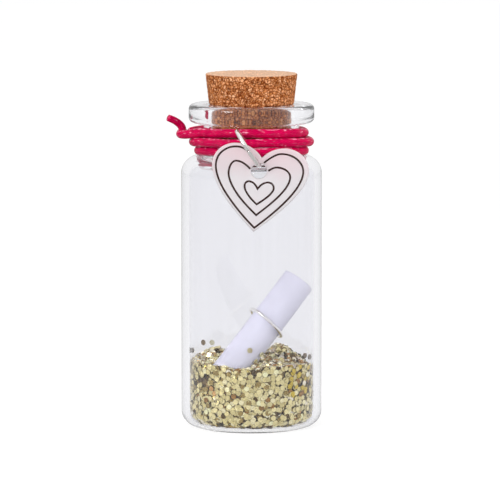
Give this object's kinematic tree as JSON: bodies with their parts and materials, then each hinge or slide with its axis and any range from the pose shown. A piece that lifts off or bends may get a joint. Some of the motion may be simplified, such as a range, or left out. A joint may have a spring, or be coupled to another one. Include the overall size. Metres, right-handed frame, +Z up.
{
  "type": "corked glass bottle",
  "caption": "Small corked glass vial with gold glitter and a paper scroll inside, cord wound round its neck and a heart tag hung from the cord by a wire ring.",
  "frame": {"origin": "centre of the bottle's flat base", "axes": "+Z up along the bottle's axis, -Y towards the side that the heart tag hangs on"},
  "size_m": [0.0331, 0.0357, 0.0755],
  "materials": {
    "clear_glass": "clear, polished",
    "cork": "agglomerated cork grains, matt",
    "waxed_cord": "waxed, slight sheen",
    "silver_wire": "bright silver plate",
    "frosted_plastic": "frosted, faintly pink",
    "brown_ink": "printed line, matt",
    "scroll_paper": "smooth uncoated",
    "gold_glitter": "mirror-bright metallised flakes"
  },
  "bodies": {
    "bottle": {"glass_bottle": "clear_glass", "neck_cord": "waxed_cord", "glitter": "gold_glitter", "stray_flakes": "gold_glitter", "scroll": "scroll_paper", "scroll_ring": "silver_wire"},
    "cork": {"cork_stopper": "cork"},
    "ring": {"jump_ring": "silver_wire"},
    "tag": {"heart_tag": "frosted_plastic", "heart_lines": "brown_ink"}
  },
  "joints": [
    {"name": "cork_pull", "type": "slide", "parent": "bottle", "child": "cork", "axis": [0, 0, 1], "range_m": [0, 0.012]},
    {"name": "ring_turn", "type": "hinge", "parent": "bottle", "child": "ring", "pos_m": [-0.00067, -0.01593, 0.06084], "axis": [-0.8387, 0, -0.5446], "range_deg": [0, 20]},
    {"name": "tag_swing", "type": "hinge", "parent": "ring", "child": "tag", "pos_m": [0.00167, -0.01648, 0.05724], "axis": [0, 1, 0], "range_deg": [-70, 15]}
  ]
}
